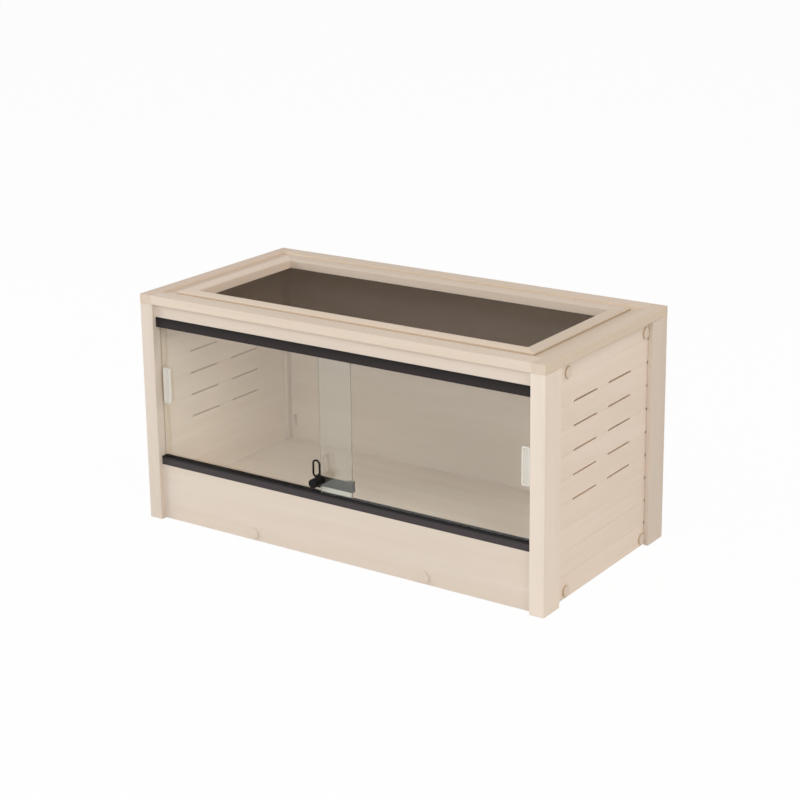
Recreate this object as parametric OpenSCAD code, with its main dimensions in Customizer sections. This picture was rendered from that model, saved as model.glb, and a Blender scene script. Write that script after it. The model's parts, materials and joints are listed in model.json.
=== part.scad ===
// Terrarium cabinet: a board-built case with two sliding glass doors, a ratchet lock,
// vented plank sides and a lift-off screen lid.
// Cabinet coordinates: X from the left side, Y back from the front of the posts, Z up from
// the floor. at_cabinet() moves them to the part's origin, under the middle of the whole.

/* [Cabinet] */
// Width over the posts
cab_w = 910; // [600:10:1200]
// Depth over the posts
cab_d = 455; // [455:5:600]
// Height to the top of the trim
cab_h = 463; // [463:1:600]
// Thickness of the wall boards
board_t = 12; // [9:0.5:15]
// How far the boards lie behind the faces of the posts
set_back = 10; // [6:0.5:12]
// Gap between the boards and the ground
board_lift = 2; // [1:0.5:5]

/* [Posts] */
// Width of a post seen from the front
post_w = 30; // [24:1:45]
// Depth of a post's square part
post_d = 36; // [30:1:45]
// Length of a front post's leg, which covers the ends of the side planks
front_leg_l = 20; // [10:1:30]
// Length of a rear post's leg
rear_leg_l = 22; // [10:1:22]

/* [Side planks] */
// Height of one plank
plank_h = 45.7; // [40:0.1:60]
// Height of the lowest plank's upper edge
first_joint = 46.1; // [40:0.1:60]
// Gap between two planks
plank_gap = 0.1; // [0.1:0.05:0.6]
// Chamfer along each plank joint
plank_chamfer = 0.3; // [0.2:0.1:1.5]
// Radius of the round recess at the end of each joint
notch_r = 3; // [1:0.1:3.5]

/* [Vents] */
// Length of a vent slot
vent_l = 86; // [40:1:100]
// Height of a vent slot
vent_h = 3.5; // [2:0.1:3.6]
// Middle of the front column of slots, from the front of the posts
vent_front_y = 160; // [140:1:170]
// Middle of the rear column of slots
vent_rear_y = 287.5; // [280:0.5:310]
// Number of slots in a column
vent_rows = 5; // [3:1:6]

/* [Tracks] */
// Height of the lower edge of the glass opening, where the bottom track stands
sill_z = 114.5; // [100:0.5:118]
// Height of the bottom track
track_low_h = 18; // [14:0.5:20]
// Height of the top track
track_top_h = 20; // [16:0.5:26]
// Thickness of a track's outer walls and web
track_wall = 1.6; // [1.2:0.1:2]
// Width of each channel
channel_w = 4.8; // [4.6:0.1:5]
// Depth of the bottom track's channels; the top track's are as deep as it is high
channel_low_h = 7; // [5:0.5:9]

/* [Doors] */
// Thickness of the glass
glass_t = 4; // [3.8:0.1:4.2]
// How far the closed doors pass each other
door_lap = 68; // [50:1:90]
// Width of a finger pull
pull_w = 17; // [14:1:24]
// Height of a finger pull
pull_h = 72; // [50:1:90]

/* [Lock] */
// Height of the barrel's axis
lock_z = 159; // [157:1:161]
// Radius of the barrel
barrel_r = 9; // [8:0.5:10]
// How far the barrel stands out in front of the posts
barrel_out = 19; // [15:1:25]
// Height of the ratchet bar
bar_h = 20.5; // [18:0.5:22]
// Distance between two ratchet teeth
tooth_pitch = 2.5; // [2:0.1:4]

/* [Lid] */
// Gap between the lid and the ledge around it
lid_gap = 1; // [0.5:0.1:2]
// Width of the lid's frame members
lid_w = 30; // [24:1:40]
// Distance between two wires of the screen
mesh_pitch = 6; // [5:0.5:12]

/* [Hidden] */
$fn = 48;
eps = 0.5;

// Colours
wood = [0.86, 0.78, 0.68];
black = [0.12, 0.12, 0.12];
clear = [0.8, 0.87, 0.85, 0.35];
milky = [0.88, 0.9, 0.89, 0.8];
steel = [0.55, 0.54, 0.51];
white = [0.93, 0.93, 0.9];

// Part origin: under the middle of the whole, with the lock barrel that stands out in front
front_y = (barrel_out - cab_d) / 2;

// Levels
trim_t = 18.5;
trim_z = cab_h - trim_t;
floor_z = 45;
cleat_z = 4;
rail_h = 26.5;
rail_z = trim_z - rail_h;
side_rail_h = 32;
batten_t = 12;
ledge_drop = 4;

// Plan positions of the boards, from the front of the posts
side_in = set_back + board_t;
front_out = set_back - 0.5;
front_in = front_out + board_t;
rear_out = cab_d - set_back;
rear_in = rear_out - board_t;
cleat_t = 18;
cleat_in = side_in + cleat_t;

// Trim and ledge
trim_side_w = 27;
trim_end_w = 32;
ledge_side_w = 24;
ledge_end_w = 17;
open_x = trim_side_w + ledge_side_w;
open_y = trim_end_w + ledge_end_w;

// Screw positions: height of the lower and the upper ones, and where they stand
screw_low_z = 16;
side_screw_top_z = trim_z - 19.5;
rear_screw_top_z = trim_z - 12.5;
side_screw_front_y = post_d + front_leg_l + 38;
cap_r = 11;
side_screw_rear_y = cab_d - post_d - rear_leg_l - cap_r - 0.5;
end_screw_off = 198;

// Tracks and glass
track_y = front_out - 0.5;
track_rib = 3.2;
track_d = 2 * track_wall + 2 * channel_w + track_rib;
track_web = 1.8;
front_glass_y = track_y + track_wall + (channel_w - glass_t) / 2;
rear_glass_y = front_glass_y + channel_w + track_rib;

// A pane stands on the floor of its lower channel. It can be lifted clear of that channel,
// into the deeper one above, and swung out.
glass_z = sill_z + track_low_h - channel_low_h;
lift_play = 1.2;
door_h = rail_z - track_web - glass_z - channel_low_h - lift_play;
door_play = 1;
door_w = (cab_w - 2 * post_w - 2 * door_play + door_lap) / 2;
left_glass_x = post_w + door_play;
right_glass_x = cab_w - post_w - door_play - door_w;
rear_glass_edge = left_glass_x + door_w;

// Lock: the barrel in front of the pane, and the neck that reaches past the pane's edge
pane_gap = 0.4;
lock_x = right_glass_x + 2.5;
neck_w = 9.6;
neck_x = right_glass_x - pane_gap - neck_w;
neck_wall = 1;
slot_gap = 0.3;

// Ratchet bar, between the two panes
bar_t = 1.5;
bar_y = rear_glass_y - 2 * bar_t;
bar_z = lock_z - 14.7;
bar_x = neck_x;
tooth_h = 0.5;

// Plug and key
plug_r = 4;
plug_y = -4;
plug_low = lock_z - 5.9;
plug_top = lock_z + barrel_r - 1;
plug_land_r = 6.4;
key_w = 18;
key_h = 36;
key_wire = 3.6;
key_z = plug_top + 0.3;

// Pawl
pawl_w = 6;
pawl_l = 4.5;
pawl_tip_gap = 0.1;
pawl_x = neck_x + (neck_w - pawl_w) / 2;
pawl_y = bar_y - pawl_tip_gap - pawl_l;
pawl_z = lock_z - 4;
pawl_gap = 0.2;
pawl_travel = 0.8;

// Lid
lid_x = open_x + lid_gap;
lid_y = open_y + lid_gap;
lid_open_x = lid_x + lid_w;
lid_open_y = lid_y + lid_w;
wire_t = 0.6;
mesh_t = 2 * wire_t + 0.02;
mesh_z = trim_z + mesh_t;
rebate = 6;

// ---------- shared shapes ----------

module at_cabinet() {
    translate([-cab_w / 2, front_y, 0]) children();
}

// A box between two corners
module slab(low, high) {
    translate(low) cube(high - low);
}

// The same thing on the right side, and at the rear
module to_right() {
    translate([cab_w, 0, 0]) mirror([1, 0, 0]) children();
}

module to_rear() {
    translate([0, cab_d, 0]) mirror([0, 1, 0]) children();
}

// A plan or section drawn in 2D and stretched along one axis
module along_x(x0, x1) {
    translate([x0, 0, 0]) rotate([90, 0, 90]) linear_extrude(x1 - x0) children();
}

module along_y(y0, y1) {
    translate([0, y1, 0]) rotate([90, 0, 0]) linear_extrude(y1 - y0) children();
}

// A rectangle with true arcs at its corners, from its lower left corner
module round_rect(w, h, r) {
    translate([r, 0]) square([w - 2 * r, h]);
    translate([0, r]) square([w, h - 2 * r]);
    for (x = [r, w - r], y = [r, h - r]) translate([x, y]) circle(r);
}

// ---------- fasteners ----------

screw_l = 27;
screw_r = 2.3;
head_r = 4.5;
head_l = 3;
head_sink = 0.4;

// Calls its children once for each screw: Z points out of the board, at its face
module at_side_screws() {
    for (y = [side_screw_front_y, side_screw_rear_y], z = [screw_low_z, side_screw_top_z])
        translate([set_back, y, z]) rotate([0, -90, 0]) children();
}

module at_front_screws() {
    for (off = [-end_screw_off, end_screw_off])
        translate([cab_w / 2 + off, front_out, screw_low_z]) rotate([90, 0, 0]) children();
}

module at_rear_screws() {
    for (off = [-end_screw_off, end_screw_off], z = [screw_low_z, rear_screw_top_z])
        translate([cab_w / 2 + off, rear_out, z]) rotate([-90, 0, 0]) children();
}

module at_all_screws() {
    at_side_screws() children();
    to_right() at_side_screws() children();
    at_front_screws() children();
    at_rear_screws() children();
}

module screw() {
    translate([0, 0, -head_sink - head_l]) cylinder(r = head_r, h = head_l);
    translate([0, 0, -screw_l]) cylinder(r = screw_r, h = screw_l - head_sink - head_l);
}

module screw_hole() {
    head_gap = 0.2;
    shank_gap = 0.1;
    tip_gap = 0.3;
    translate([0, 0, -head_sink - head_l])
        cylinder(r = head_r + head_gap, h = head_l + head_sink + eps);
    translate([0, 0, -screw_l - tip_gap]) cylinder(r = screw_r + shank_gap, h = screw_l);
}

// A flat round cap with a soft rim, seated on the board over the screw's head
module cap() {
    cap_t = 3;
    rim = 0.8;
    rotate_extrude() polygon([
        [0, 0], [cap_r, 0], [cap_r, cap_t - rim], [cap_r - rim, cap_t], [0, cap_t]
    ]);
}

module screws() {
    color("dimgray") at_cabinet() at_all_screws() screw();
}

module screw_caps() {
    color(wood) at_cabinet() at_all_screws() cap();
}

// ---------- case ----------

// Square part and the leg that covers the planks' ends, with eased edges
module post_shape(leg_l) {
    ease = 1.2;
    mid = post_d / 2;
    linear_extrude(trim_z) {
        round_rect(post_w, post_d, ease);
        translate([0, mid]) round_rect(set_back, post_d - mid + leg_l, ease);
    }
}

module post_front_left() {
    color(wood) at_cabinet() post_shape(front_leg_l);
}

module post_front_right() {
    color(wood) at_cabinet() to_right() post_shape(front_leg_l);
}

module post_rear_left() {
    color(wood) at_cabinet() to_rear() post_shape(rear_leg_l);
}

module post_rear_right() {
    color(wood) at_cabinet() to_right() to_rear() post_shape(rear_leg_l);
}

// End view of one plank, with its groove below and its tongue above
function plank_outline(z0, z1, groove, tongue) =
    let (
        x0 = set_back,
        x1 = side_in,
        mid = (x0 + x1) / 2,
        c = plank_chamfer,
        // Half widths of the groove and the tongue, and how deep and how tall they are
        g = 2.2,
        t = 2,
        deep = 4,
        tall = 3.6
    )
    concat(
        [[x0, z0 + c], [x0 + c, z0]],
        groove ? [[mid - g, z0], [mid - g, z0 + deep], [mid + g, z0 + deep], [mid + g, z0]] : [],
        [[x1 - c, z0], [x1, z0 + c], [x1, z1 - c], [x1 - c, z1]],
        tongue ? [[mid + t, z1], [mid + t, z1 + tall], [mid - t, z1 + tall], [mid - t, z1]] : [],
        [[x0 + c, z1], [x0, z1 - c]]
    );

joint_count = floor((trim_z - first_joint) / plank_h) + 1;
function joint_z(k) = first_joint + k * plank_h;
// The middle row of vents lies on the middle joint
vent_first = floor((joint_count - vent_rows) / 2) + 1;

// A slot through the planks, centred on a joint
module vent_slot(y, z) {
    r = vent_h / 2;
    half = vent_l / 2 - r;
    slab([0, y - half, z - r], [side_in + eps, y + half, z + r]);
    for (s = [-half, half])
        translate([0, y + s, z]) rotate([0, 90, 0]) cylinder(r = r, h = side_in + eps);
}

module side_planks() {
    notch_in = 3;
    difference() {
        for (k = [0 : joint_count]) {
            z0 = k == 0 ? board_lift : joint_z(k - 1) + plank_gap / 2;
            z1 = k == joint_count ? trim_z : joint_z(k) - plank_gap / 2;
            along_y(post_d, cab_d - post_d)
                polygon(plank_outline(z0, z1, k > 0, k < joint_count));
        }
        for (row = [0 : vent_rows - 1], y = [vent_front_y, vent_rear_y])
            vent_slot(y, joint_z(vent_first + row));
        for (k = [0 : joint_count - 1],
            y = [post_d + front_leg_l, cab_d - post_d - rear_leg_l])
            translate([0, y, joint_z(k)]) rotate([0, 90, 0])
                cylinder(r = notch_r, h = set_back + notch_in);
        at_side_screws() screw_hole();
    }
}

module side_planks_left() {
    color(wood) at_cabinet() side_planks();
}

module side_planks_right() {
    color(wood) at_cabinet() to_right() side_planks();
}

// The rear panel has a slot with round ends near its left end, which lets cords through
module rear_panel() {
    slot_w = 9;
    slot_h = 27;
    slot_x = post_w + 5;
    slot_z = 75;
    slot_r = slot_w / 2 - 0.01;
    color(wood) at_cabinet() difference() {
        slab([post_w, rear_in, board_lift], [cab_w - post_w, rear_out, trim_z]);
        translate([slot_x, 0, slot_z]) along_y(rear_in - eps, cab_d)
            round_rect(slot_w, slot_h, slot_r);
        at_rear_screws() screw_hole();
    }
}

module front_panel() {
    color(wood) at_cabinet() difference() {
        slab([post_w, front_out, board_lift], [cab_w - post_w, front_in, sill_z]);
        at_front_screws() screw_hole();
    }
}

// The floor lies on the cleats and is notched round the posts
module floor_panel() {
    color(wood) at_cabinet() difference() {
        slab([side_in, front_in, floor_z - board_t], [cab_w - side_in, rear_in, floor_z]);
        for (x = [0, cab_w - post_w], y = [0, cab_d - post_d])
            slab([x, y, 0], [x + post_w, y + post_d, cab_h]);
    }
}

cleat_top = floor_z - board_t;

module cleat_front() {
    color(wood) at_cabinet() difference() {
        slab([cleat_in, front_in, cleat_z], [cab_w - cleat_in, front_in + cleat_t, cleat_top]);
        at_front_screws() screw_hole();
    }
}

module cleat_rear() {
    color(wood) at_cabinet() difference() {
        slab([cleat_in, rear_in - cleat_t, cleat_z], [cab_w - cleat_in, rear_in, cleat_top]);
        at_rear_screws() screw_hole();
    }
}

// A strip along the inside of a side wall, between the posts
module side_strip(z0, z1) {
    difference() {
        slab([side_in, post_d, z0], [cleat_in, cab_d - post_d, z1]);
        at_side_screws() screw_hole();
    }
}

module cleat_left() {
    color(wood) at_cabinet() side_strip(cleat_z, cleat_top);
}

module cleat_right() {
    color(wood) at_cabinet() to_right() side_strip(cleat_z, cleat_top);
}

module rail_front() {
    color(wood) at_cabinet()
        slab([post_w, front_out, rail_z], [cab_w - post_w, front_in, trim_z]);
}

module rail_rear() {
    color(wood) at_cabinet() difference() {
        slab([cleat_in, rear_in - cleat_t, rail_z], [cab_w - cleat_in, rear_in, trim_z]);
        at_rear_screws() screw_hole();
    }
}

module rail_left() {
    color(wood) at_cabinet() side_strip(trim_z - side_rail_h, trim_z);
}

module rail_right() {
    color(wood) at_cabinet() to_right() side_strip(trim_z - side_rail_h, trim_z);
}

// ---------- trim and ledge round the lid ----------

// Section of a trim member: the rim with eased edges, and the lower ledge inside it
module trim_section(rim_w, ledge_w) {
    ease = 1.2;
    translate([0, trim_z]) {
        round_rect(rim_w, trim_t, ease);
        translate([rim_w / 2, 0]) square([rim_w / 2 + ledge_w, trim_t - ledge_drop]);
    }
}

module trim_end() {
    along_x(trim_side_w, cab_w - trim_side_w) trim_section(trim_end_w, ledge_end_w);
}

// The side member's rim runs the full depth, its ledge only between the end members' ledges
module trim_side() {
    difference() {
        along_y(0, cab_d) trim_section(trim_side_w, ledge_side_w);
        for (y = [-eps, cab_d - open_y])
            slab([trim_side_w, y, 0], [cab_w / 2, y + open_y + eps, cab_h + eps]);
    }
}

module trim_front() {
    color(wood) at_cabinet() trim_end();
}

module trim_rear() {
    color(wood) at_cabinet() to_rear() trim_end();
}

module trim_left() {
    color(wood) at_cabinet() trim_side();
}

module trim_right() {
    color(wood) at_cabinet() to_right() trim_side();
}

// Battens under the ledge, on which the lid rests
batten_in = 12;
batten_low = trim_z - batten_t;

module batten_front() {
    color(wood) at_cabinet()
        slab([cleat_in, front_in, batten_low], [cab_w - cleat_in, open_y + batten_in, trim_z]);
}

module batten_rear() {
    color(wood) at_cabinet()
        slab([cleat_in, cab_d - open_y - batten_in, batten_low],
            [cab_w - cleat_in, rear_in - cleat_t, trim_z]);
}

module batten_side() {
    slab([cleat_in, open_y + batten_in, batten_low],
        [open_x + batten_in, cab_d - open_y - batten_in, trim_z]);
}

module batten_left() {
    color(wood) at_cabinet() batten_side();
}

module batten_right() {
    color(wood) at_cabinet() to_right() batten_side();
}

// ---------- tracks ----------

// Section of the double track: three walls joined by a web, with the channels above it.
// Where the channels are shallow, the walls reach down past the web as a skirt.
module track_section(h, channel_h) {
    difference() {
        square([track_d, h]);
        for (y = [track_wall, track_wall + channel_w + track_rib]) {
            translate([y, h - channel_h]) square([channel_w, channel_h + eps]);
            translate([y, -eps]) square([channel_w, h - channel_h - track_web + eps]);
        }
    }
}

module track_bottom() {
    color(black) at_cabinet() translate([0, track_y, sill_z])
        along_x(post_w, cab_w - post_w) track_section(track_low_h, channel_low_h);
}

module track_top() {
    color(black) at_cabinet() translate([0, track_y, rail_z]) mirror([0, 0, 1])
        along_x(post_w, cab_w - post_w) track_section(track_top_h, track_top_h - track_web);
}

// ---------- glass doors ----------

module pane(x, y) {
    corner_r = 1.5;
    translate([x, 0, glass_z]) along_y(y, y + glass_t) round_rect(door_w, door_h, corner_r);
}

// A finger pull: a rounded plate with a hollow for the fingertip, stuck on a pane's front
module finger_pull(x, z, glass_y) {
    thick = 5.5;
    hollow = 3.8;
    edge = 3;
    corner_r = 4;
    hollow_r = 2.5;
    translate([x, 0, z]) difference() {
        along_y(glass_y - thick, glass_y) round_rect(pull_w, pull_h, corner_r);
        translate([edge, 0, edge]) along_y(glass_y - thick - eps, glass_y - thick + hollow)
            round_rect(pull_w - 2 * edge, pull_h - 2 * edge, hollow_r);
    }
}

module glass_left() {
    color(clear) at_cabinet() pane(left_glass_x, rear_glass_y);
}

module glass_right() {
    color(clear) at_cabinet() pane(right_glass_x, front_glass_y);
}

left_pull_x = post_w + 8;
left_pull_z = 243;
right_pull_x = cab_w - post_w - 20;
right_pull_z = 236.5;

module pull_left() {
    color(milky) at_cabinet() finger_pull(left_pull_x, left_pull_z, rear_glass_y);
}

module pull_right() {
    color(milky) at_cabinet() finger_pull(right_pull_x, right_pull_z, front_glass_y);
}

// ---------- ratchet lock ----------

// Plan of the bar: a flat strip with saw teeth on its front, hooked round the pane's edge
function bar_plan() =
    let (
        hook_in = rear_glass_edge + 1.5,
        hook_x = hook_in + bar_t,
        back_y = rear_glass_y + glass_t + 0.4,
        lip_x = rear_glass_edge - 12,
        teeth = 24,
        // Each tooth rises over the first part of its pitch and falls slowly over the rest
        rise = 0.2
    )
    concat(
        [[bar_x, bar_y + bar_t]],
        [[bar_x, bar_y + tooth_h]],
        [for (i = [0 : teeth - 1], p = [[rise, 0], [1, tooth_h]])
            [bar_x + (i + p[0]) * tooth_pitch, bar_y + p[1]]],
        [[bar_x + (teeth + rise) * tooth_pitch, bar_y]],
        [[hook_x, bar_y], [hook_x, back_y + bar_t], [lip_x, back_y + bar_t]],
        [[lip_x, back_y], [hook_in, back_y], [hook_in, bar_y + bar_t]]
    );

module ratchet_bar() {
    color(steel) at_cabinet() translate([0, 0, bar_z]) linear_extrude(bar_h) polygon(bar_plan());
}

// Soft white strip on the pane: it pads the bar, and shows below it down to the track. Under
// the lock's neck it stays low, so that the neck passes over it.
module bar_cushion() {
    low = sill_z + track_low_h + 1.5;
    step = bar_z - slot_gap - neck_wall - pane_gap;
    left = neck_x - 2;
    padded_left = right_glass_x + 3;
    right = rear_glass_edge - 1;
    color(white) at_cabinet() {
        slab([left, bar_y + bar_t, low], [right, rear_glass_y, step]);
        slab([padded_left, bar_y + bar_t, low], [right, rear_glass_y, bar_z + bar_h]);
    }
}

// The barrel with its neck. The neck has the slot for the bar and the pocket for the pawl, and
// the barrel has a flat round the bore of the plug.
module lock_body() {
    chamfer = 1.2;
    barrel_end = front_glass_y - 1;
    neck_lap = 1.5;
    bore_gap = 0.1;
    color(black) at_cabinet() difference() {
        union() {
            translate([lock_x, 0, lock_z]) rotate([90, 0, 0]) {
                translate([0, 0, -barrel_end])
                    cylinder(r = barrel_r, h = barrel_out + barrel_end - chamfer);
                translate([0, 0, barrel_out - chamfer])
                    cylinder(r1 = barrel_r, r2 = barrel_r - chamfer, h = chamfer);
            }
            slab([neck_x, barrel_end - neck_lap, bar_z - slot_gap - neck_wall],
                [neck_x + neck_w, rear_glass_y - pane_gap, bar_z + bar_h + slot_gap + neck_wall]);
        }
        slab([neck_x - eps, bar_y - slot_gap, bar_z - slot_gap],
            [neck_x + neck_w + eps, bar_y + bar_t + slot_gap, bar_z + bar_h + slot_gap]);
        translate([lock_x, plug_y, plug_top]) cylinder(r = plug_land_r, h = barrel_r);
        translate([lock_x, plug_y, plug_low - bore_gap])
            cylinder(r = plug_r + bore_gap, h = 2 * barrel_r);
        slab([pawl_x - pawl_gap, pawl_y - pawl_travel - 2 * pawl_gap, pawl_z - pawl_gap],
            [pawl_x + pawl_w + pawl_gap, bar_y, pawl_z + pawl_w + pawl_gap]);
    }
}

// The sprung block that drops into the bar's teeth, with a nose cut to their slope. It stands
// just clear of their tips.
module lock_pawl() {
    nose = 1.2;
    tip_y = pawl_y + pawl_l;
    color("dimgray") at_cabinet() translate([0, 0, pawl_z]) linear_extrude(pawl_w) polygon([
        [pawl_x, pawl_y], [pawl_x + pawl_w, pawl_y], [pawl_x + pawl_w, tip_y],
        [pawl_x + pawl_w - nose, tip_y], [pawl_x, tip_y - nose]
    ]);
}

// Width and thickness of the key's blade, and of the keyway that takes it
key_blade = [5.4, 1.6];
keyway = [6, 2.1];
blade_l = 12;

module lock_plug() {
    keyway_z = key_z - blade_l - 0.2;
    color("dimgray") at_cabinet() translate([lock_x, plug_y, 0]) difference() {
        translate([0, 0, plug_low]) cylinder(r = plug_r, h = plug_top - plug_low);
        translate([-keyway[0] / 2, -keyway[1] / 2, keyway_z])
            cube([keyway[0], keyway[1], key_h]);
    }
}

// A loop of flat wire for the bow and a blade that drops into the keyway
module key() {
    half_t = 1;
    bow_r = key_w / 2 - 0.01;
    color(black) at_cabinet() translate([lock_x, plug_y, key_z]) {
        translate([-key_w / 2, 0, 0]) along_y(-half_t, half_t) difference() {
            round_rect(key_w, key_h, bow_r);
            translate([key_wire, key_wire])
                round_rect(key_w - 2 * key_wire, key_h - 2 * key_wire, bow_r - key_wire);
        }
        translate([-key_blade[0] / 2, -key_blade[1] / 2, -blade_l])
            cube([key_blade[0], key_blade[1], blade_l + key_wire / 2]);
    }
}

// ---------- screen lid ----------

// Section of a lid member from its outer edge inwards: a soft upper edge, and below it the
// rebate that holds the screen
module lid_section() {
    ease = 2.5;
    difference() {
        translate([0, trim_z]) {
            square([lid_w, trim_t - ease]);
            translate([0, trim_t / 2]) round_rect(lid_w, trim_t / 2, ease);
        }
        translate([lid_w - rebate, trim_z - eps]) square([rebate + eps, mesh_z - trim_z + eps]);
    }
}

// The members meet in mitres
module lid_end() {
    intersection() {
        translate([0, lid_y, 0]) along_x(lid_x, cab_w - lid_x) lid_section();
        linear_extrude(cab_h + eps) polygon([
            [lid_x, lid_y], [cab_w - lid_x, lid_y],
            [cab_w - lid_open_x, lid_open_y], [lid_open_x, lid_open_y]
        ]);
    }
}

module lid_side() {
    intersection() {
        translate([lid_x, 0, 0]) along_y(lid_y, cab_d - lid_y) lid_section();
        linear_extrude(cab_h + eps) polygon([
            [lid_x, lid_y], [lid_open_x, lid_open_y],
            [lid_open_x, cab_d - lid_open_y], [lid_x, cab_d - lid_y]
        ]);
    }
}

module lid_front() {
    color(wood) at_cabinet() lid_end();
}

module lid_rear() {
    color(wood) at_cabinet() to_rear() lid_end();
}

module lid_left() {
    color(wood) at_cabinet() lid_side();
}

module lid_right() {
    color(wood) at_cabinet() to_right() lid_side();
}

// Two layers of wires, one over the other, joined by a selvage that lies in the rebate
mesh_x0 = lid_open_x - rebate + 1;
mesh_y0 = lid_open_y - rebate + 1;

module lid_mesh() {
    mesh_w = cab_w - 2 * mesh_x0;
    mesh_d = cab_d - 2 * mesh_y0;
    hem = 3;
    lap = 1;
    nx = floor((mesh_w - 2 * hem) / mesh_pitch);
    ny = floor((mesh_d - 2 * hem) / mesh_pitch);
    px = (mesh_w - 2 * hem) / nx;
    py = (mesh_d - 2 * hem) / ny;
    color(black) at_cabinet() translate([mesh_x0, mesh_y0, mesh_z - mesh_t]) {
        linear_extrude(mesh_t) difference() {
            square([mesh_w, mesh_d]);
            translate([hem, hem]) square([mesh_w - 2 * hem, mesh_d - 2 * hem]);
        }
        for (i = [1 : nx - 1])
            translate([hem + i * px - wire_t / 2, hem - lap, mesh_t - wire_t])
                cube([wire_t, mesh_d - 2 * (hem - lap), wire_t]);
        for (j = [1 : ny - 1])
            translate([hem - lap, hem + j * py - wire_t / 2, 0])
                cube([mesh_w - 2 * (hem - lap), wire_t, wire_t]);
    }
}

// Strips under the frame that hold the screen up in its rebate
module mesh_beads() {
    bead_w = 8;
    bead_h = 4;
    z0 = trim_z - bead_h;
    x0 = lid_open_x - bead_w;
    y0 = lid_open_y - bead_w;
    color(wood) at_cabinet() {
        for (x = [x0, cab_w - lid_open_x])
            slab([x, y0, z0], [x + bead_w, cab_d - y0, trim_z]);
        for (y = [y0, cab_d - lid_open_y])
            slab([lid_open_x, y, z0], [cab_w - lid_open_x, y + bead_w, trim_z]);
    }
}

post_front_left();
post_front_right();
post_rear_left();
post_rear_right();
side_planks_left();
side_planks_right();
rear_panel();
front_panel();
floor_panel();
cleat_front();
cleat_rear();
cleat_left();
cleat_right();
rail_front();
rail_rear();
rail_left();
rail_right();
trim_front();
trim_rear();
trim_left();
trim_right();
batten_front();
batten_rear();
batten_left();
batten_right();
track_bottom();
track_top();
screws();
screw_caps();
glass_left();
pull_left();
ratchet_bar();
bar_cushion();
glass_right();
pull_right();
lock_body();
lock_pawl();
lock_plug();
key();
lid_front();
lid_rear();
lid_left();
lid_right();
lid_mesh();
mesh_beads();
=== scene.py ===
"""Looks of the terrarium cabinet: pale boards with soft edges, clear glass doors, black
tracks and lock, a fine dark screen, and the studio around it. Metres, in the part's own
frame: +X to the right, +Y to the rear, +Z up."""

import json
import math

import bmesh
import bpy
from mathutils import Matrix, Vector

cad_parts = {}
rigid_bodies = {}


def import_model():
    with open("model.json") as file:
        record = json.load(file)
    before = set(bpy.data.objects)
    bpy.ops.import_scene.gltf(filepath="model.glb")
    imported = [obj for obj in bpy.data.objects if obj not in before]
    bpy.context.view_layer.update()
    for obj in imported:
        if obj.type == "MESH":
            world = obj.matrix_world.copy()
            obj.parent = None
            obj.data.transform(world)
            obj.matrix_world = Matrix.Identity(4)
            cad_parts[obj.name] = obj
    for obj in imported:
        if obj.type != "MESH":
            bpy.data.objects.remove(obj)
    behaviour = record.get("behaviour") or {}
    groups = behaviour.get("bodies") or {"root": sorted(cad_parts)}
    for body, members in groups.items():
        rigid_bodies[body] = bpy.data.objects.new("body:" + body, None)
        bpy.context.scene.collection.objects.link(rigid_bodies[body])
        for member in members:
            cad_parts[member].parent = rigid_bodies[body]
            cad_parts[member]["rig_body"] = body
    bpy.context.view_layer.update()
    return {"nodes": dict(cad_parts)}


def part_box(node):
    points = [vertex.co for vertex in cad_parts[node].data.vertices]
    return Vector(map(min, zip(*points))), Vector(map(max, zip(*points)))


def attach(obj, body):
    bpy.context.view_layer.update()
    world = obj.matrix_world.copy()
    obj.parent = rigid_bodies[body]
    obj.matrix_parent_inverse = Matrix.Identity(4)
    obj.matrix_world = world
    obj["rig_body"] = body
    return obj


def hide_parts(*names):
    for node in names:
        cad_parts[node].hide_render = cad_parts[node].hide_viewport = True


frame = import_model()
NODES = frame["nodes"]
MM = 0.001

# ---------- node helpers ----------

RELIEF_STRENGTH = 0.4


def srgb(r, g, b):
    """An 8-bit screen colour as the linear colour that the shaders take."""
    def linear(v):
        v = v / 255
        return v / 12.92 if v <= 0.04045 else ((v + 0.055) / 1.055) ** 2.4
    return (linear(r), linear(g), linear(b), 1.0)


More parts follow.
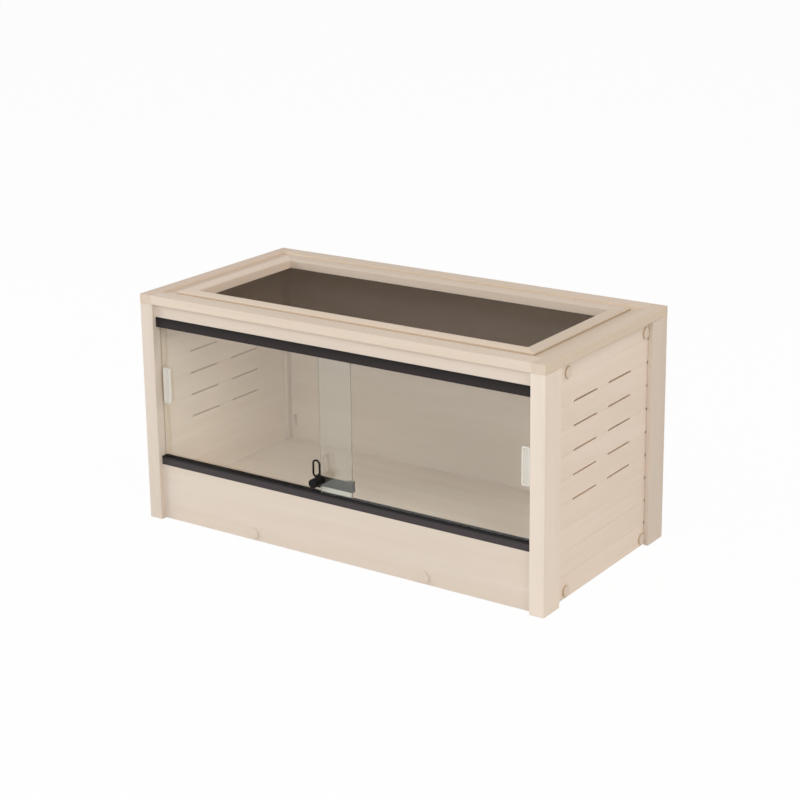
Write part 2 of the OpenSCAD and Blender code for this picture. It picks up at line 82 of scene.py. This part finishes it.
class Tree:
    """The nodes of a new material, or of a new world, with short calls to add and join them."""

    def __init__(self, name, world=False):
        self.owner = (bpy.data.worlds if world else bpy.data.materials).new(name)
        self.owner.use_nodes = True
        self.tree = self.owner.node_tree
        self.tree.nodes.clear()
        self.out = self.add("ShaderNodeOutputWorld" if world else "ShaderNodeOutputMaterial")

    def add(self, kind, **values):
        node = self.tree.nodes.new(kind)
        for key, value in values.items():
            if hasattr(node, key):
                setattr(node, key, value)
            else:
                node.inputs[key.replace("_", " ")].default_value = value
        return node

    def join(self, source, target):
        self.tree.links.new(source, target)

    def feed(self, value, socket):
        """Sets a socket to a plain value, or joins another node's output to it."""
        if isinstance(value, (int, float, tuple)):
            socket.default_value = value
        else:
            self.join(value, socket)

    def math(self, operation, *values):
        node = self.add("ShaderNodeMath", operation=operation)
        for value, socket in zip(values, node.inputs):
            self.feed(value, socket)
        return node.outputs[0]

    def noise(self, vector, scale, detail, roughness, distortion=0.0):
        node = self.add(
            "ShaderNodeTexNoise", Scale=scale, Detail=detail, Roughness=roughness,
            Distortion=distortion,
        )
        self.join(vector, node.inputs["Vector"])
        return node.outputs[0]

    def ramp(self, factor, *stops):
        node = self.add("ShaderNodeValToRGB")
        ramp = node.color_ramp
        while len(ramp.elements) < len(stops):
            ramp.elements.new(0.5)
        for element, (position, colour) in zip(ramp.elements, stops):
            element.position = position
            element.color = colour
        self.join(factor, node.inputs[0])
        return node.outputs[0]

    def mix(self, factor, a, b, blend="MIX"):
        node = self.add("ShaderNodeMix", data_type="RGBA", blend_type=blend)
        for value, socket in ((factor, 0), (a, 6), (b, 7)):
            self.feed(value, node.inputs[socket])
        return node.outputs[2]

    def spread(self, value, low, high, start=0.0, end=1.0):
        """A value from start to end, stretched to low to high."""
        node = self.add(
            "ShaderNodeMapRange", From_Min=start, From_Max=end, To_Min=low, To_Max=high,
        )
        self.join(value, node.inputs["Value"])
        return node.outputs[0]

    def bump(self, height, distance):
        node = self.add("ShaderNodeBump", Distance=distance, Strength=RELIEF_STRENGTH)
        self.join(height, node.inputs["Height"])
        return node.outputs[0]

    def place(self, scale, shift=(0, 0, 0)):
        """Object coordinates, which are the part's frame, stretched and shifted."""
        coord = self.add("ShaderNodeTexCoord")
        mapping = self.add("ShaderNodeMapping", Scale=scale, Location=shift)
        self.join(coord.outputs["Object"], mapping.inputs["Vector"])
        return mapping.outputs[0]

    def split(self, output):
        """The three parts of a coordinate, such as the place or the normal."""
        coord = self.add("ShaderNodeTexCoord")
        parts = self.add("ShaderNodeSeparateXYZ")
        self.join(coord.outputs[output], parts.inputs[0])
        return parts.outputs

    def blend(self, factor, first, second):
        """A mix of two shaders; the factor is a socket or a plain share."""
        node = self.add("ShaderNodeMixShader")
        self.feed(factor, node.inputs[0])
        self.join(first.outputs[0], node.inputs[1])
        self.join(second.outputs[0], node.inputs[2])
        return node

    def see_through(self, colour):
        node = self.add("ShaderNodeBsdfTransparent")
        node.inputs[0].default_value = colour
        return node

    def finish(self, shader):
        self.join(shader.outputs[0], self.out.inputs["Surface"])
        return self.owner

    def surface(self, **values):
        shader = self.add("ShaderNodeBsdfPrincipled")
        for key, value in values.items():
            self.feed(value, shader.inputs[key.replace("_", " ")])
        return shader


# ---------- boards ----------

BOARD_PALE = srgb(232, 219, 207)
BOARD_DEEP = srgb(225, 210, 196)
BOARD_STREAK = srgb(206, 188, 170)
LINES_SHARE = 0.09
PLANK_TONE_SHARE = 0.15
BOARD_SHINE = 0.3
BOARD_RELIEF = 0.08 * MM
AXES = {"x": (1, 0, 0), "y": (0, 1, 0), "z": (0, 0, 1)}
GRAIN_ALONG = 1.4
GRAIN_ACROSS = 26.0
SEED_STEP = (3.7, 1.9, 5.3)
PLANK_STEP = (17, 23, 31)
PLANK_PITCH = 45.7 * MM
PLANK_FIRST = 46.1 * MM
ACROSS_FROM = 0.6  # A face counts as lying across an axis from this share of its normal


def board_material(name, grain, seed, tone_and_painted_light=1.0, planks=False, painted_shade_and_cut_tone=None):
    """A pale, fine-grained board whose grain runs along one axis. Tone and painted light shift a
    board's colour a little, by one share or by one for each channel. With planks, each board of a
    plank wall gets its own piece of wood. A painted shade and cut tone (face axis, colour share)
    darkens the faces that don't lie across that axis."""
    t = Tree(name)
    scale = tuple(GRAIN_ALONG if on_axis else GRAIN_ACROSS for on_axis in AXES[grain])
    vector = t.place(scale, tuple(seed * step for step in SEED_STEP))
    tone_shift = None
    if planks:
        level = t.math("SUBTRACT", t.split("Object")[2], PLANK_FIRST)
        index = t.math("FLOOR", t.math("DIVIDE", level, PLANK_PITCH))
        white = t.add("ShaderNodeTexWhiteNoise", noise_dimensions="1D")
        t.join(index, white.inputs["W"])
        tone_shift = white.outputs["Value"]
        push = t.add("ShaderNodeVectorMath", operation="MULTIPLY_ADD")
        t.join(white.outputs["Color"], push.inputs[0])
        push.inputs[1].default_value = PLANK_STEP
        t.join(vector, push.inputs[2])
        vector = push.outputs[0]
    cloud = t.noise(vector, 0.9, 3, 0.55, 0.4)
    streak = t.noise(vector, 4.5, 4, 0.62, 0.6)
    fibre = t.noise(vector, 22, 3, 0.7)
    base = t.ramp(cloud, (0.3, BOARD_DEEP), (0.7, BOARD_PALE))
    lines = t.ramp(streak, (0.50, (0, 0, 0, 1)), (0.72, (1, 1, 1, 1)))
    colour = t.mix(t.math("MULTIPLY", lines, LINES_SHARE), base, BOARD_STREAK)
    pores = t.spread(fibre, -0.05, 0.08)
    colour = t.mix(t.math("MAXIMUM", pores, 0.0), colour, BOARD_STREAK)
    if tone_shift is not None:
        colour = t.mix(t.math("MULTIPLY", tone_shift, PLANK_TONE_SHARE), colour, BOARD_DEEP)
    share = tone_and_painted_light if isinstance(tone_and_painted_light, tuple) else (tone_and_painted_light, tone_and_painted_light, tone_and_painted_light)
    colour = t.mix(1.0, colour, (*share, 1), "MULTIPLY")
    # Painted shade, and on the plank walls also the darker cut faces: faces that don't lie across
    # the axis get darker
    if painted_shade_and_cut_tone is not None:
        axis, share_left = painted_shade_and_cut_tone
        turned = t.math("ABSOLUTE", t.split("Normal")["xyz".index(axis)])
        darker = t.mix(1.0, colour, share_left, "MULTIPLY")
        colour = t.mix(t.math("LESS_THAN", turned, ACROSS_FROM), colour, darker)
    roughness = t.spread(streak, 0.42, 0.56)
    height = t.math("ADD", t.math("MULTIPLY", streak, 0.6), t.math("MULTIPLY", fibre, 0.4))
    shader = t.surface(
        Base_Color=colour, Roughness=roughness, Specular_IOR_Level=BOARD_SHINE,
        Normal=t.bump(height, BOARD_RELIEF),
    )
    return t.finish(shader)


# ---------- plastics, metals and glass ----------

EVEN_GRAIN = (60, 60, 60)
TRACK_GRAIN = (4, 60, 60)
BAR_GRAIN = (6, 60, 60)
FINE_RELIEF = 0.04 * MM
MILKY_RELIEF = 0.03 * MM


def satin_material(
    name, colour, low, high, grain=EVEN_GRAIN, metallic=0.0, shine=0.5, painted_fade=None,
):
    """A coloured plastic, lacquer or metal with uneven gloss and a fine surface. A painted fade
    (level, height, share) is painted shade: it lowers the colour to that share over that height
    above the level."""
    t = Tree(name)
    vector = t.place(grain)
    fine = t.noise(vector, 9, 3, 0.6)
    wide = t.noise(vector, 0.6, 2, 0.5)
    tint = t.spread(wide, 0.92, 1.08)
    # Painted shade, darker over the height above the level
    if painted_fade is not None:
        level, height, share = painted_fade
        up = t.spread(t.split("Object")[2], 1.0, share, level, level + height)
        tint = t.math("MULTIPLY", tint, up)
    scaled = t.add("ShaderNodeVectorMath", operation="SCALE")
    scaled.inputs[0].default_value = colour[:3]
    t.join(tint, scaled.inputs["Scale"])
    shader = t.surface(
        Base_Color=scaled.outputs[0], Roughness=t.spread(fine, low, high),
        Normal=t.bump(fine, FINE_RELIEF), Metallic=metallic,
        Specular_IOR_Level=shine,
    )
    return t.finish(shader)


def cap_material(name, colour, rim, side_from):
    """Board-coloured caps. Those further out than side_from along X have a painted shade on their
    rim.
    """
    flat_from = 0.8
    t = Tree(name)
    fine = t.noise(t.place(EVEN_GRAIN), 9, 3, 0.6)
    on_side = t.math("GREATER_THAN", t.math("ABSOLUTE", t.split("Object")[0]), side_from)
    is_rim = t.math("LESS_THAN", t.math("ABSOLUTE", t.split("Normal")[0]), flat_from)
    # Painted shade: the rims of the side caps take the rim colour
    shader = t.surface(
        Base_Color=t.mix(t.math("MULTIPLY", on_side, is_rim), colour, rim),
        Roughness=t.spread(fine, 0.35, 0.45), Specular_IOR_Level=BOARD_SHINE,
        Normal=t.bump(fine, FINE_RELIEF),
    )
    return t.finish(shader)


def glass_material(name, tint, edge):
    """A clear pane: faces across Y are polished and clear, the cut edges are dull and coloured.
    Its shadow is only a faint one."""
    pane_from = 0.7
    t = Tree(name)
    clear = t.surface(Base_Color=tint, Roughness=0.0, IOR=1.5, Transmission_Weight=1.0)
    rim = t.surface(Base_Color=edge, Roughness=0.3, IOR=1.5, Transmission_Weight=0.15)
    is_edge = t.math("LESS_THAN", t.math("ABSOLUTE", t.split("Normal")[1]), pane_from)
    body = t.blend(is_edge, clear, rim)
    light = t.add("ShaderNodeLightPath")
    through = t.see_through((0.93, 0.95, 0.94, 1))
    return t.finish(t.blend(light.outputs["Is Shadow Ray"], body, through))


def milky_material(name):
    """Milky clear plastic: mostly scattering, partly see-through."""
    see_through_share = 0.2
    t = Tree(name)
    fine = t.noise(t.place(EVEN_GRAIN), 4, 3, 0.6)
    shader = t.surface(
        Base_Color=srgb(249, 244, 237), Roughness=t.spread(fine, 0.26, 0.4), IOR=1.45,
        Normal=t.bump(fine, MILKY_RELIEF),
    )
    return t.finish(t.blend(see_through_share, shader, t.see_through((0.97, 0.97, 0.96, 1))))


# ---------- dressing the CAD nodes ----------

SHARP = math.radians(50)
NEAR = math.radians(40)
FLAT = math.radians(0.5)
WELD = 0.002 * MM
ROOM = 1.5  # An edge beside a rounded one is at least this many radii long


def even_normals(bm):
    """One normal for each corner of each face. Faces that meet softly share it, and large ones
    count far more than small ones, so flats stay flat beside their rounded edges."""
    normals = []
    areas = {face: face.calc_area() ** 2 for face in bm.faces}
    for face in bm.faces:
        for loop in face.loops:
            total = Vector((0, 0, 0))
            for other in loop.vert.link_faces:
                if face.normal.dot(other.normal) > math.cos(NEAR):
                    total += areas[other] * other.normal
            normals.append(total.normalized() if total.length > 0 else face.normal.copy())
    return normals


def roundable(bm, radius):
    """The sharp edges that have room for the radius beside both of their ends."""
    chosen = {
        edge for edge in bm.edges
        if len(edge.link_faces) == 2 and edge.calc_face_angle() > SHARP
    }
    while True:
        cramped = {
            edge for edge in chosen for vertex in edge.verts for other in vertex.link_edges
            if other not in chosen and other.calc_length() < ROOM * radius
        }
        if not cramped:
            return [edge for edge in bm.edges if edge in chosen]
        chosen -= cramped


def dress(node, material, radius, segments=2):
    """Stands for a CAD node: the same solid with its sharp edges rounded, or only with evened
    shading where the radius is 0."""
    source = NODES[node].data
    mesh = bpy.data.meshes.new(node + "_dressed")
    corners = [vertex.co.copy() for vertex in source.vertices]
    mesh.from_pydata(corners, [], [tuple(face.vertices) for face in source.polygons])
    bm = bmesh.new()
    bm.from_mesh(mesh)
    bmesh.ops.remove_doubles(bm, verts=bm.verts, dist=WELD)
    bmesh.ops.dissolve_limit(bm, angle_limit=FLAT, verts=bm.verts, edges=bm.edges)
    if radius > 0:
        bmesh.ops.bevel(
            bm, geom=roundable(bm, radius), offset=radius, offset_type="OFFSET",
            segments=segments, profile=0.5, affect="EDGES", clamp_overlap=False,
        )
        bmesh.ops.remove_doubles(bm, verts=bm.verts, dist=WELD)
    bmesh.ops.recalc_face_normals(bm, faces=bm.faces)
    bm.normal_update()
    normals = even_normals(bm)
    bm.to_mesh(mesh)
    bm.free()
    mesh.polygons.foreach_set("use_smooth", [True] * len(mesh.polygons))
    mesh.normals_split_custom_set(normals)
    mesh.materials.append(material)
    piece = bpy.data.objects.new(node + "_dressed", mesh)
    bpy.context.scene.collection.objects.link(piece)
    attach(piece, NODES[node]["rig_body"])
    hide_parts(node)


def paint(node, material):
    mesh = NODES[node].data
    mesh.materials.clear()
    mesh.materials.append(material)


# The axis of each board's grain; the order gives the seeds
BOARDS = {
    "post_front_left": "z", "post_front_right": "z", "post_rear_left": "z",
    "post_rear_right": "z", "rear_panel": "x", "front_panel": "x", "floor_panel": "x",
    "cleat_front": "x", "cleat_rear": "x", "cleat_left": "y", "cleat_right": "y",
    "rail_front": "x", "rail_rear": "x", "rail_left": "y", "rail_right": "y",
    "trim_front": "x", "trim_rear": "x", "trim_left": "y", "trim_right": "y",
    "batten_front": "x", "batten_rear": "x", "batten_left": "y", "batten_right": "y",
    "lid_front": "x", "lid_rear": "x", "lid_left": "y", "lid_right": "y",
    "mesh_beads": "x",
}
# Shares of the common board colour, matched to how light or dark each board looks: each board's
# own tone together with painted light and shade, such as the lit front right post and floor and
# the shaded rear panel and rear left corner post
TONES_AND_PAINTED_LIGHT = {
    "post_front_left": 0.985, "post_front_right": (1.13, 1.15, 1.16), "post_rear_right": 0.95,
    "post_rear_left": 0.88,
    "front_panel": 1.01, "floor_panel": 1.13, "rail_front": 0.97,
    "rear_panel": (0.92, 0.92, 0.91),
    "trim_front": (1.02, 1.0, 0.97), "trim_left": (0.96, 0.91, 0.86),
    "trim_right": (0.96, 0.93, 0.87), "trim_rear": (0.98, 0.95, 0.9),
    "lid_front": (1.1, 1.07, 1.02), "lid_left": (1.11, 1.09, 1.06),
    "lid_right": (0.93, 0.91, 0.85), "lid_rear": (0.96, 0.93, 0.89),
}
EDGE_RADIUS = 0.6 * MM
# Painted shade on the upright faces of the front and right lid members, for the shadow in the gap
# between lid and trim
LID_PAINTED_SHADE = ("z", (0.76, 0.71, 0.65, 1))
PAINTED_SHADE_LIDS = ("lid_front", "lid_right")

for seed, (node, grain) in enumerate(BOARDS.items()):
    painted_shade_and_cut_tone = LID_PAINTED_SHADE if node in PAINTED_SHADE_LIDS else None
    material = board_material("board_" + node, grain, seed, TONES_AND_PAINTED_LIGHT.get(node, 1.0), painted_shade_and_cut_tone=painted_shade_and_cut_tone)
    dress(node, material, 0 if node.startswith("lid_") else EDGE_RADIUS)

# Node, seed, tone with painted light, and the colour of the darker faces of slots, joints and
# notches: their own darker cut tone together with painted shade inside the slots
PLANK_WALLS = (
    ("side_planks_left", 40, 1.05, (0.9, 0.88, 0.85, 1)),
    ("side_planks_right", 41, 1.11, (0.84, 0.79, 0.72, 1)),
)
for node, seed, tone_and_painted_light, cut_tone_and_shade in PLANK_WALLS:
    material = board_material(
        "planks_" + node, "y", seed, tone_and_painted_light, planks=True, painted_shade_and_cut_tone=("x", cut_tone_and_shade),
    )
    paint(node, material)

SIDE_CAPS_FROM = 0.43
# The rim colour is painted shade, the dark crescent where the side caps' rims face away from the
# light
CAP = cap_material("caps", srgb(227, 212, 197), srgb(198, 176, 150), SIDE_CAPS_FROM)
# Painted shade on the tracks, darker towards the top: level, height and share
TOP_TRACK_SHADE = (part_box("track_top")[0].z + 6 * MM, 12 * MM, 0.3)
BOTTOM_TRACK_SHADE = (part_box("track_bottom")[1].z - 7 * MM, 5 * MM, 0.1)
TRACK_TOP = satin_material(
    "track_black_top", srgb(43, 35, 36), 0.36, 0.48, grain=TRACK_GRAIN, shine=0.2, painted_fade=TOP_TRACK_SHADE,
)
# The two tracks are lit and shaded copies of one black plastic: the bottom one's lighter black is
# painted light on its front face
TRACK_BOTTOM = satin_material(
    "track_black_bottom", srgb(66, 60, 62), 0.36, 0.48, grain=TRACK_GRAIN, shine=0.2,
    painted_fade=BOTTOM_TRACK_SHADE,
)
LOCK = satin_material("lock_black", srgb(15, 14, 14), 0.26, 0.4, shine=0.12)
KEY = satin_material("key_black", srgb(22, 17, 10), 0.24, 0.38, shine=0.1)
STEEL = satin_material("bar_steel", srgb(70, 67, 62), 0.4, 0.5, grain=BAR_GRAIN, metallic=0.6)
PLUG = satin_material("plug_steel", srgb(70, 69, 68), 0.25, 0.4, metallic=1.0)
SCREW = satin_material("screw_steel", srgb(150, 150, 148), 0.25, 0.4, metallic=1.0)
VINYL = satin_material("vinyl_white", srgb(200, 192, 182), 0.3, 0.42)
WIRE = satin_material("screen_wire", srgb(55, 36, 20), 0.4, 0.55, shine=0.25)
GLASS = glass_material("door_glass", srgb(248, 250, 248), srgb(158, 144, 126))
MILKY = milky_material("pull_plastic")

for node, material in (
    ("screw_caps", CAP), ("screws", SCREW), ("ratchet_bar", STEEL), ("lock_pawl", PLUG),
    ("lock_plug", PLUG),
):
    paint(node, material)

# Node, material, radius of the rounded edges and its segments
for node, material, radius, segments in (
    ("track_bottom", TRACK_BOTTOM, 0.4 * MM, 2), ("track_top", TRACK_TOP, 0.4 * MM, 2),
    ("glass_left", GLASS, 0.5 * MM, 1), ("glass_right", GLASS, 0.5 * MM, 1),
    ("pull_left", MILKY, 0.9 * MM, 3), ("pull_right", MILKY, 0.9 * MM, 3),
    ("bar_cushion", VINYL, 0.4 * MM, 2), ("lock_body", LOCK, 0, 2), ("key", KEY, 0.4 * MM, 3),
):
    dress(node, material, radius, segments)

# ---------- fine screen ----------

WIRE_R = 0.19 * MM
WIRE_PITCH = 2.0 * MM
WIRE_SIDES = 6


def add_wire(start, end, vertices, faces):
    """Adds a straight round wire, closed at both ends."""
    first = len(vertices)
    ahead = (end - start).normalized()
    side = ahead.cross(Vector((0, 0, 1))).normalized()
    up = side.cross(ahead)
    for point in (start, end):
        for k in range(WIRE_SIDES):
            angle = 2 * math.pi * k / WIRE_SIDES
            vertices.append(point + WIRE_R * (math.cos(angle) * side + math.sin(angle) * up))
    second = first + WIRE_SIDES
    for k in range(WIRE_SIDES):
        following = (k + 1) % WIRE_SIDES
        faces.append((first + k, second + k, second + following, first + following))
    faces.append(tuple(first + k for k in range(WIRE_SIDES)))
    faces.append(tuple(second + k for k in reversed(range(WIRE_SIDES))))


def fine_screen():
    """The fine screen in the place of the CAD one: the wires along Y lie on those along X."""
    low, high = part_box("lid_mesh")
    level = (low.z + high.z) / 2
    count_x = int((high.x - low.x) / WIRE_PITCH)
    count_y = int((high.y - low.y) / WIRE_PITCH)
    step_x = (high.x - low.x) / count_x
    step_y = (high.y - low.y) / count_y
    vertices, faces = [], []
    for i in range(1, count_x):
        x = low.x + i * step_x
        start, end = (Vector((x, y, level + WIRE_R)) for y in (low.y, high.y))
        add_wire(start, end, vertices, faces)
    for j in range(1, count_y):
        y = low.y + j * step_y
        start, end = (Vector((x, y, level - WIRE_R)) for x in (low.x, high.x))
        add_wire(start, end, vertices, faces)
    mesh = bpy.data.meshes.new("screen")
    mesh.from_pydata(vertices, [], faces)
    mesh.polygons.foreach_set("use_smooth", [len(p.vertices) == 4 for p in mesh.polygons])
    screen = bpy.data.objects.new("screen", mesh)
    bpy.context.scene.collection.objects.link(screen)
    mesh.materials.append(WIRE)
    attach(screen, "lid")
    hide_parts("lid_mesh")


fine_screen()

# ---------- studio ----------

LAMP_SIZE = 2.2
LAMP_AIM = (0, 0, 0.25)
AMBIENT = 0.2
WHITE = (1, 1, 1, 1)
FLOOR_HALF = 12.0
FLOOR_WHITE_SHARE = 0.97  # The rest of the floor's look is lit, which keeps the shadow


def area_light(name, place, power, colour):
    data = bpy.data.lights.new(name, "AREA")
    data.shape = "RECTANGLE"
    data.size = data.size_y = LAMP_SIZE
    data.energy = power
    data.color = colour
    light = bpy.data.objects.new(name, data)
    light.location = place
    aim = Vector(LAMP_AIM) - Vector(place)
    light.rotation_euler = aim.to_track_quat("-Z", "Y").to_euler()
    bpy.context.scene.collection.objects.link(light)


def seen(t):
    """1 for rays from the camera, and for those of gloss and glass; 0 for light on the object."""
    light = t.add("ShaderNodeLightPath")
    eye = t.math("MAXIMUM", light.outputs["Is Camera Ray"], light.outputs["Is Glossy Ray"])
    return t.math("MAXIMUM", eye, light.outputs["Is Transmission Ray"])


def studio_floor():
    """The floor, shown as white by a share to the camera, to glass and to gloss."""
    t = Tree("floor")
    shader = t.surface(Base_Color=(0.9, 0.9, 0.9, 1), Roughness=0.7, Specular_IOR_Level=0.0)
    white = t.add("ShaderNodeEmission", Color=WHITE, Strength=1.0)
    t.finish(t.blend(t.math("MULTIPLY", seen(t), FLOOR_WHITE_SHARE), shader, white))
    mesh = bpy.data.meshes.new("floor")
    corners = [
        (x * FLOOR_HALF, y * FLOOR_HALF, 0) for x, y in ((-1, -1), (1, -1), (1, 1), (-1, 1))
    ]
    mesh.from_pydata(corners, [], [(0, 1, 2, 3)])
    mesh.materials.append(t.owner)
    floor = bpy.data.objects.new("floor", mesh)
    bpy.context.scene.collection.objects.link(floor)


def studio_world():
    """White to the camera, to gloss and to glass; a low, even light to the object."""
    t = Tree("studio", world=True)
    bpy.context.scene.world = t.owner
    back = t.add("ShaderNodeBackground", Color=WHITE)
    t.join(t.spread(seen(t), AMBIENT, 1.0), back.inputs["Strength"])
    t.finish(back)


# Name, place, power and colour of each lamp; all face the cabinet's middle
LAMPS = (
    ("left", (-3.75, -1.75, 1.75), 92, (1.0, 0.98, 0.93)),
    ("front", (0.35, -2.8, 1.4), 23.5, (0.95, 0.98, 1.0)),
    ("right", (3.45, -2.0, 2.1), 49, (1.0, 0.97, 0.88)),
    ("high", (2.3, 1.6, 3.6), 56, (1.0, 0.86, 0.74)),
)
studio_floor()
studio_world()
for lamp in LAMPS:
    area_light(*lamp)

# ---------- camera ----------

# The cabinet's size without the lock, and the fitted view of it
CABINET_W = 0.91
CABINET_H = 0.463
CABINET_MID_Y = 9.5 * MM
AZIMUTH = math.radians(34.49)
ELEVATION = math.radians(15.46)
ROLL = math.radians(-0.72)
DISTANCE = 4.050 * CABINET_W
AIM_RIGHT = 0.002 * CABINET_W
AIM_UP = 0.202 * CABINET_W
SENSOR = 36
LENS = 85.41
SHIFT_UP = -0.1
VIEW_END = 60


def camera():
    back = Vector((
        math.sin(AZIMUTH) * math.cos(ELEVATION), -math.cos(AZIMUTH) * math.cos(ELEVATION),
        math.sin(ELEVATION),
    ))
    right = Vector((math.cos(AZIMUTH), math.sin(AZIMUTH), 0))
    up = back.cross(right)
    target = Vector((0, CABINET_MID_Y, CABINET_H / 2)) + right * AIM_RIGHT + up * AIM_UP
    turned_right = math.cos(ROLL) * right + math.sin(ROLL) * up
    turned_up = math.cos(ROLL) * up - math.sin(ROLL) * right
    data = bpy.data.cameras.new("camera")
    data.sensor_width = SENSOR
    data.lens = LENS
    data.shift_y = SHIFT_UP
    data.clip_end = VIEW_END
    eye = bpy.data.objects.new("camera", data)
    turn = Matrix((turned_right, turned_up, back)).transposed()
    eye.matrix_world = Matrix.Translation(target + DISTANCE * back) @ turn.to_4x4()
    bpy.context.scene.collection.objects.link(eye)
    bpy.context.scene.camera = eye


camera()

bpy.context.scene.view_settings.view_transform = "Standard"
